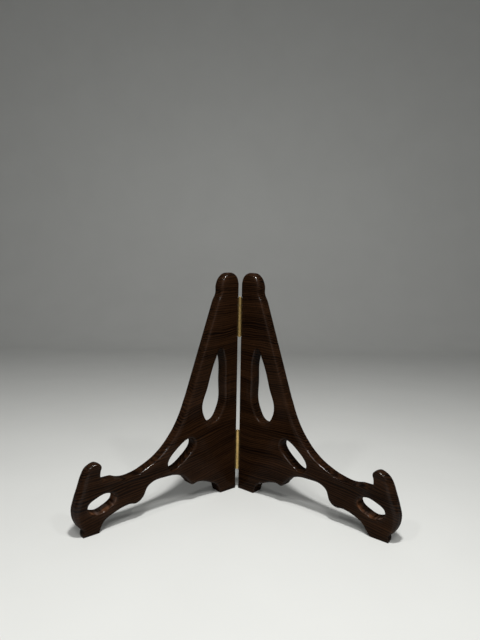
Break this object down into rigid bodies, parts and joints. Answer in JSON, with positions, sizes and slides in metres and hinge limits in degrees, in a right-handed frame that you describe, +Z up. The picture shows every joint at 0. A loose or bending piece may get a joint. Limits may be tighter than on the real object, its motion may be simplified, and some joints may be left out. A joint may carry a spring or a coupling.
{
  "type": "plate display stand",
  "caption": "Folding wooden plate easel: two pierced, carved side boards with front hooks, joined in a V by brass butt hinges at the back.",
  "frame": {"origin": "on the floor, in the middle of the open stand's width and depth", "axes": "+X to the viewer's right along the stand's width, +Y towards the back, where the hinges are, +Z up"},
  "size_m": [0.2652, 0.116, 0.214],
  "materials": {
    "dark_wood": "semi-gloss wax over fine straight grain",
    "brass": "satin, lightly aged",
    "aged_brass": "satin, darkened"
  },
  "bodies": {
    "left_side": {"left_side_board": "dark_wood", "lower_hinge_leaf_left": "brass", "upper_hinge_leaf_left": "brass", "lower_hinge_pin": "brass", "upper_hinge_pin": "brass", "lower_hinge_screw_left_1": "aged_brass", "lower_hinge_screw_left_2": "aged_brass", "lower_hinge_screw_left_3": "aged_brass", "upper_hinge_screw_left_1": "aged_brass", "upper_hinge_screw_left_2": "aged_brass", "upper_hinge_screw_left_3": "aged_brass"},
    "right_side": {"right_side_board": "dark_wood", "lower_hinge_leaf_right": "brass", "upper_hinge_leaf_right": "brass", "lower_hinge_screw_right_1": "aged_brass", "lower_hinge_screw_right_2": "aged_brass", "lower_hinge_screw_right_3": "aged_brass", "upper_hinge_screw_right_1": "aged_brass", "upper_hinge_screw_right_2": "aged_brass", "upper_hinge_screw_right_3": "aged_brass"}
  },
  "joints": [
    {"name": "fold", "type": "hinge", "parent": "left_side", "child": "right_side", "pos_m": [0, 0.04984, 0], "axis": [0, 0, 1], "range_deg": [-98, 82]}
  ]
}
